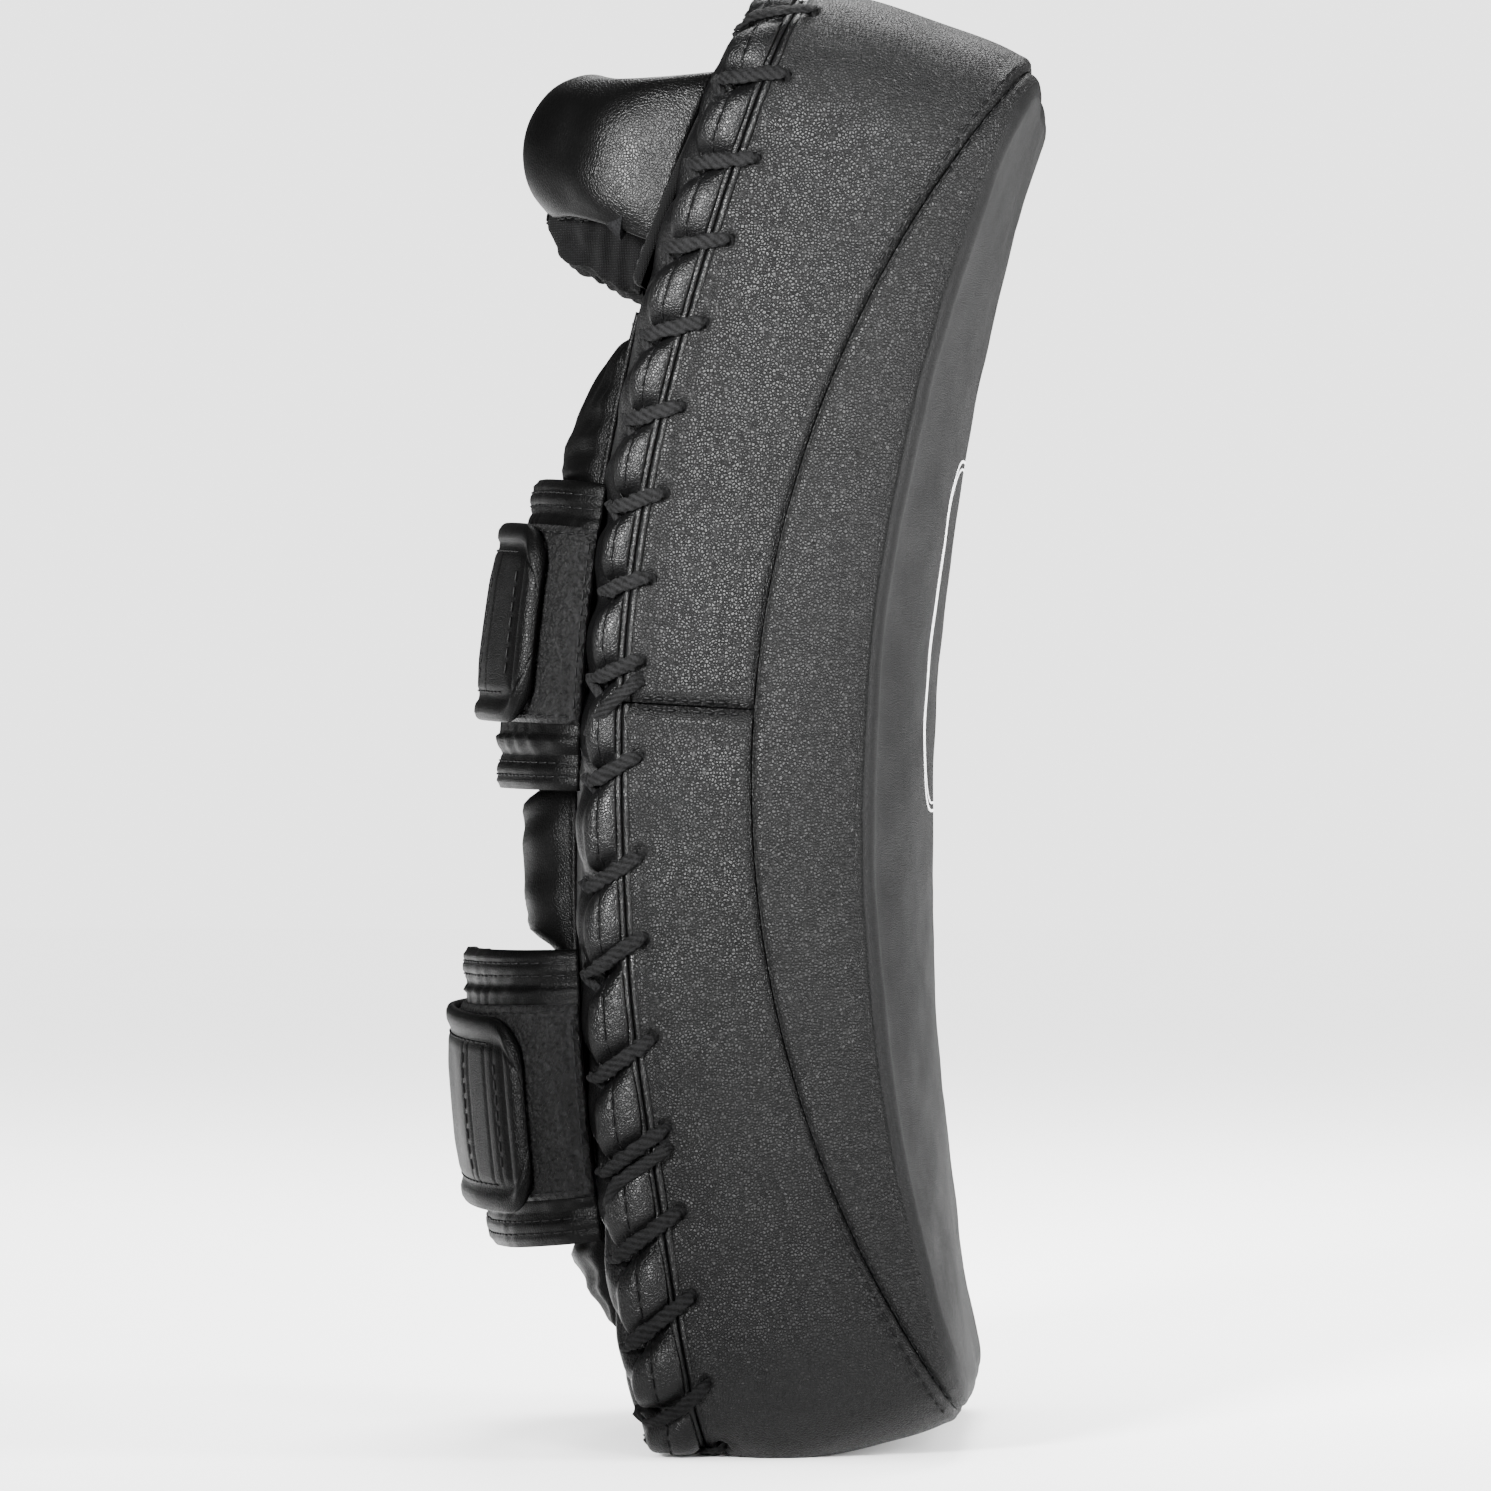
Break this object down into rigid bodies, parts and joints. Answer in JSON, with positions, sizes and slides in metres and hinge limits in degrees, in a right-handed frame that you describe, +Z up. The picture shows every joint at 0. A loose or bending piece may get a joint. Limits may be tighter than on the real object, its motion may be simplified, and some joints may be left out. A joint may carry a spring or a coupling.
{
  "type": "thai pad",
  "caption": "Curved padded kick and punch shield held on the forearm: thick laced leather pad with a roll handle and two hook-and-loop forearm cuffs on the back.",
  "frame": {"origin": "middle of the bounding box's footprint, on the plane the lower end rests on", "axes": "+Z up along the pad's length, +X out of the strike face, -X the forearm side with handle and cuffs, -Y the side the cuff tabs' free ends point to"},
  "size_m": [0.1685, 0.206, 0.3987],
  "materials": {
    "black_leather": "satin",
    "black_lining": "matte",
    "foam": "matte",
    "hook_and_loop": "matte",
    "black_lace": "matte"
  },
  "bodies": {
    "pad": {"front_cover": "black_leather", "gusset_upper": "black_leather", "gusset_lower": "black_leather", "rear_cover": "black_leather", "foam_strike": "foam", "foam_core": "foam", "foam_back": "foam", "lace": "black_lace", "arm_pad_cover": "black_leather", "arm_pad_foam": "foam", "handle_cover": "black_leather", "handle_core": "foam", "handle_base": "black_lining", "handle_lining": "black_lining", "upper_band_lining": "black_lining", "upper_band_foam": "foam", "upper_band_leather": "black_leather", "upper_loop_patch": "hook_and_loop", "upper_strap_root": "black_leather", "lower_band_lining": "black_lining", "lower_band_foam": "foam", "lower_band_leather": "black_leather", "lower_loop_patch": "hook_and_loop", "lower_strap_root": "black_leather"},
    "upper_strap_body": {"upper_strap": "black_leather"},
    "upper_tab_body": {"upper_tab": "black_leather", "upper_hook_patch": "hook_and_loop"},
    "lower_strap_body": {"lower_strap": "black_leather"},
    "lower_tab_body": {"lower_tab": "black_leather", "lower_hook_patch": "hook_and_loop"}
  },
  "joints": [
    {"name": "upper_strap_peel", "type": "hinge", "parent": "pad", "child": "upper_strap_body", "pos_m": [-0.04323, 0.09176, 0.22557], "axis": [-0.0955, 0.0018, -0.9954], "range_deg": [0, 140]},
    {"name": "upper_tab_peel", "type": "hinge", "parent": "upper_strap_body", "child": "upper_tab_body", "pos_m": [-0.07102, -0.00923, 0.22795], "axis": [-0.1364, -0.0004, -0.9907], "range_deg": [0, 100]},
    {"name": "lower_strap_peel", "type": "hinge", "parent": "pad", "child": "lower_strap_body", "pos_m": [-0.0442, 0.09203, 0.09663], "axis": [0.0852, 0, -0.9964], "range_deg": [0, 140]},
    {"name": "lower_tab_peel", "type": "hinge", "parent": "lower_strap_body", "child": "lower_tab_body", "pos_m": [-0.08203, -0.00933, 0.0934], "axis": [0.0852, 0, -0.9964], "range_deg": [0, 100]}
  ]
}
